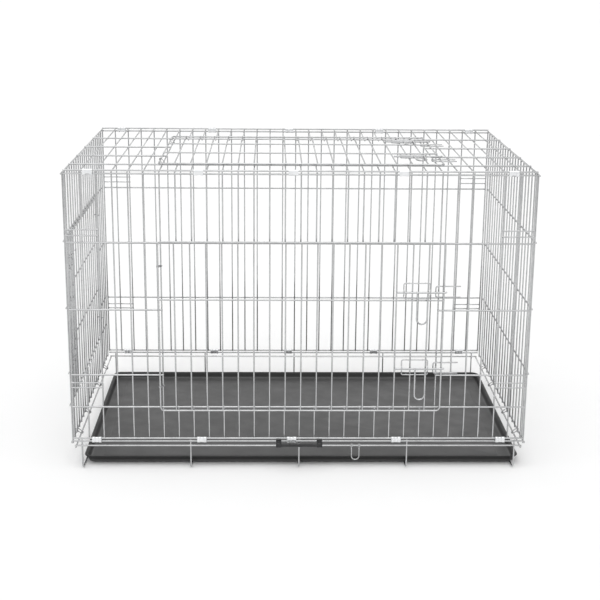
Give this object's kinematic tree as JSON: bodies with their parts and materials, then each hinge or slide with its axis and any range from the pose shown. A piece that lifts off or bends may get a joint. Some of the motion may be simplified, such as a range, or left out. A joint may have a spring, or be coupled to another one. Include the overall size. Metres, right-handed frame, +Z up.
{
  "type": "folding wire dog crate",
  "caption": "Folding wire dog crate of welded panels on a wire floor frame, with side, end and top doors on slide bolts, a slide-out pan and a carry handle.",
  "frame": {"origin": "on the ground, under the middle of the crate", "axes": "+X along the length, towards the latch side of the front door; +Y from the front with the long door to the back; +Z up"},
  "size_m": [1.0991, 0.707, 0.7354],
  "materials": {
    "zinc_wire": "bright zinc plated wire",
    "zinc_strip": "bent zinc plated strip",
    "pan_plastic": "moulded, fine texture",
    "handle_plastic": "moulded, satin"
  },
  "bodies": {
    "floor_frame": {"front_rail": "zinc_wire", "back_rail": "zinc_wire", "lower_front_wire": "zinc_wire", "lower_back_wire": "zinc_wire", "left_side_rail": "zinc_wire", "right_side_rail": "zinc_wire", "support_wire_1": "zinc_wire", "support_wire_2": "zinc_wire", "support_wire_3": "zinc_wire", "support_wire_4": "zinc_wire", "support_wire_5": "zinc_wire", "carry_handle": "handle_plastic", "front_bottom_clip_1": "zinc_strip", "front_bottom_clip_2": "zinc_strip", "front_bottom_clip_3": "zinc_strip", "front_bottom_clip_4": "zinc_strip", "front_bottom_clip_5": "zinc_strip", "back_bottom_clip_1": "zinc_strip", "back_bottom_clip_2": "zinc_strip", "back_bottom_clip_3": "zinc_strip", "back_bottom_clip_4": "zinc_strip", "back_bottom_clip_5": "zinc_strip"},
    "pan": {"tray": "pan_plastic"},
    "pan_catch": {"tray_catch": "zinc_wire"},
    "left_end": {"left_end_panel": "zinc_wire"},
    "right_end": {"right_end_panel": "zinc_wire"},
    "front": {"front_panel": "zinc_wire"},
    "back": {"back_panel": "zinc_wire", "back_top_clip_1": "zinc_strip", "back_top_clip_2": "zinc_strip", "back_top_clip_3": "zinc_strip", "back_top_clip_4": "zinc_strip", "back_top_clip_5": "zinc_strip"},
    "top": {"top_panel": "zinc_wire", "front_top_clip_1": "zinc_strip", "front_top_clip_2": "zinc_strip", "front_top_clip_3": "zinc_strip", "front_top_clip_4": "zinc_strip", "front_top_clip_5": "zinc_strip"},
    "front_door_body": {"front_door": "zinc_wire", "front_upper_bracket": "zinc_wire", "front_lower_bracket": "zinc_wire"},
    "end_door_body": {"end_door": "zinc_wire", "end_upper_bracket": "zinc_wire", "end_lower_bracket": "zinc_wire"},
    "top_door_body": {"top_door": "zinc_wire", "top_rear_bracket": "zinc_wire", "top_front_bracket": "zinc_wire"},
    "front_upper_bolt_body": {"front_upper_bolt": "zinc_wire"},
    "front_lower_bolt_body": {"front_lower_bolt": "zinc_wire"},
    "end_upper_bolt_body": {"end_upper_bolt": "zinc_wire"},
    "end_lower_bolt_body": {"end_lower_bolt": "zinc_wire"},
    "top_rear_bolt_body": {"top_rear_bolt": "zinc_wire"},
    "top_front_bolt_body": {"top_front_bolt": "zinc_wire"}
  },
  "joints": [
    {"name": "left_end_fold", "type": "hinge", "parent": "floor_frame", "child": "left_end", "pos_m": [-0.5305, 0, 0.0562], "axis": [0, -1, 0], "range_deg": [-93.5, 0]},
    {"name": "right_end_fold", "type": "hinge", "parent": "floor_frame", "child": "right_end", "pos_m": [0.5305, 0, 0.0562], "axis": [0, 1, 0], "range_deg": [-90, 0]},
    {"name": "front_fold", "type": "hinge", "parent": "floor_frame", "child": "front", "pos_m": [0, -0.343, 0.079], "axis": [1, 0, 0], "range_deg": [-90.3, 0]},
    {"name": "back_fold", "type": "hinge", "parent": "floor_frame", "child": "back", "pos_m": [0, 0.343, 0.079], "axis": [-1, 0, 0], "range_deg": [-85.2, 0]},
    {"name": "top_fold", "type": "hinge", "parent": "back", "child": "top", "pos_m": [0, 0.343, 0.7209], "axis": [1, 0, 0], "range_deg": [-263, 0]},
    {"name": "front_door_swing", "type": "hinge", "parent": "front", "child": "front_door_body", "pos_m": [-0.3265, -0.34735, 0], "axis": [0, 0, -1], "range_deg": [0, 170]},
    {"name": "end_door_swing", "type": "hinge", "parent": "left_end", "child": "end_door_body", "pos_m": [-0.54565, 0.23424, 0], "axis": [0, 0, -1], "range_deg": [0, 170]},
    {"name": "top_door_swing", "type": "hinge", "parent": "top", "child": "top_door_body", "pos_m": [-0.3265, 0, 0.72525], "axis": [0, -1, 0], "range_deg": [0, 170]},
    {"name": "front_upper_bolt_slide", "type": "slide", "parent": "front_door_body", "child": "front_upper_bolt_body", "axis": [-1, 0, 0], "range_m": [0, 0.026]},
    {"name": "front_lower_bolt_slide", "type": "slide", "parent": "front_door_body", "child": "front_lower_bolt_body", "axis": [-1, 0, 0], "range_m": [0, 0.026]},
    {"name": "end_upper_bolt_slide", "type": "slide", "parent": "end_door_body", "child": "end_upper_bolt_body", "axis": [0, 1, 0], "range_m": [0, 0.026]},
    {"name": "end_lower_bolt_slide", "type": "slide", "parent": "end_door_body", "child": "end_lower_bolt_body", "axis": [0, 1, 0], "range_m": [0, 0.026]},
    {"name": "top_rear_bolt_slide", "type": "slide", "parent": "top_door_body", "child": "top_rear_bolt_body", "axis": [-1, 0, 0], "range_m": [0, 0.026]},
    {"name": "top_front_bolt_slide", "type": "slide", "parent": "top_door_body", "child": "top_front_bolt_body", "axis": [-1, 0, 0], "range_m": [0, 0.026]},
    {"name": "pan_slide", "type": "slide", "parent": "floor_frame", "child": "pan", "axis": [1, 0, 0], "range_m": [0, 0.9]},
    {"name": "pan_catch_swing", "type": "hinge", "parent": "floor_frame", "child": "pan_catch", "pos_m": [0.1345, -0.343, 0.0605], "axis": [-1, 0, 0], "range_deg": [0, 110]}
  ],
  "couplings": [
    {"joint": "back_fold", "follows": "top_fold", "ratio": 0.32395}
  ]
}
